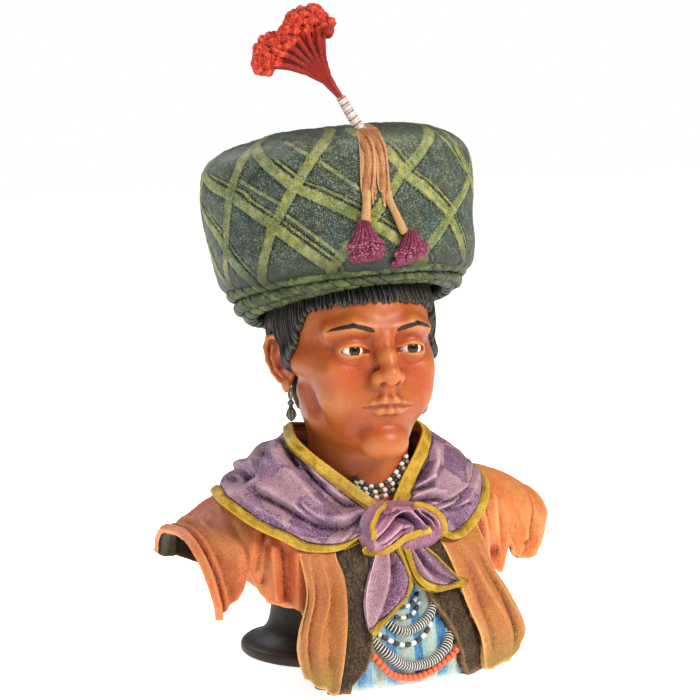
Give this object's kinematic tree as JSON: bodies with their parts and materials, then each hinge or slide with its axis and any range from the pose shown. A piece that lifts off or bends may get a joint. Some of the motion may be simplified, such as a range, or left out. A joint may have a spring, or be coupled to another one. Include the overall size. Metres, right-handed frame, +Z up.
{
  "type": "painted cast bust of a sitter in a plumed cloth hat",
  "caption": "Painted cast bust of a man in a wrapped cloth hat with plume and tassels, a knotted scarf and open coat, on a round foot.",
  "frame": {"origin": "centre of the round foot's underside, on the ground", "axes": "+Z up, -Y towards the front of the chest, +X towards the figure's own left"},
  "size_m": [0.252, 0.1784, 0.4025],
  "materials": {
    "painted_coat": "hand-painted cast resin, satin orange",
    "painted_foot": "hand-painted cast resin, dull near-black brown",
    "painted_plume": "hand-painted cast resin, red-orange",
    "painted_skin": "hand-painted cast resin, satin red-brown",
    "painted_hair": "hand-painted cast resin, black",
    "painted_hat": "hand-painted cast resin, dark green with olive bands",
    "painted_scarf": "hand-painted cast resin, lilac with mustard borders",
    "painted_lapels": "hand-painted cast resin, ochre",
    "painted_vest": "hand-painted cast resin, dark brown",
    "painted_shirt": "hand-painted cast resin, aqua and blue stripes",
    "painted_beads": "hand-painted cast resin, pale aqua, white, black and coral beads",
    "painted_earrings": "hand-painted cast resin, dark silver",
    "painted_straps": "hand-painted cast resin, tan leather colour",
    "painted_tassels": "hand-painted cast resin, maroon"
  },
  "bodies": {
    "root": {"bust": "painted_coat", "base": "painted_foot", "plume": "painted_plume"}
  },
  "joints": []
}
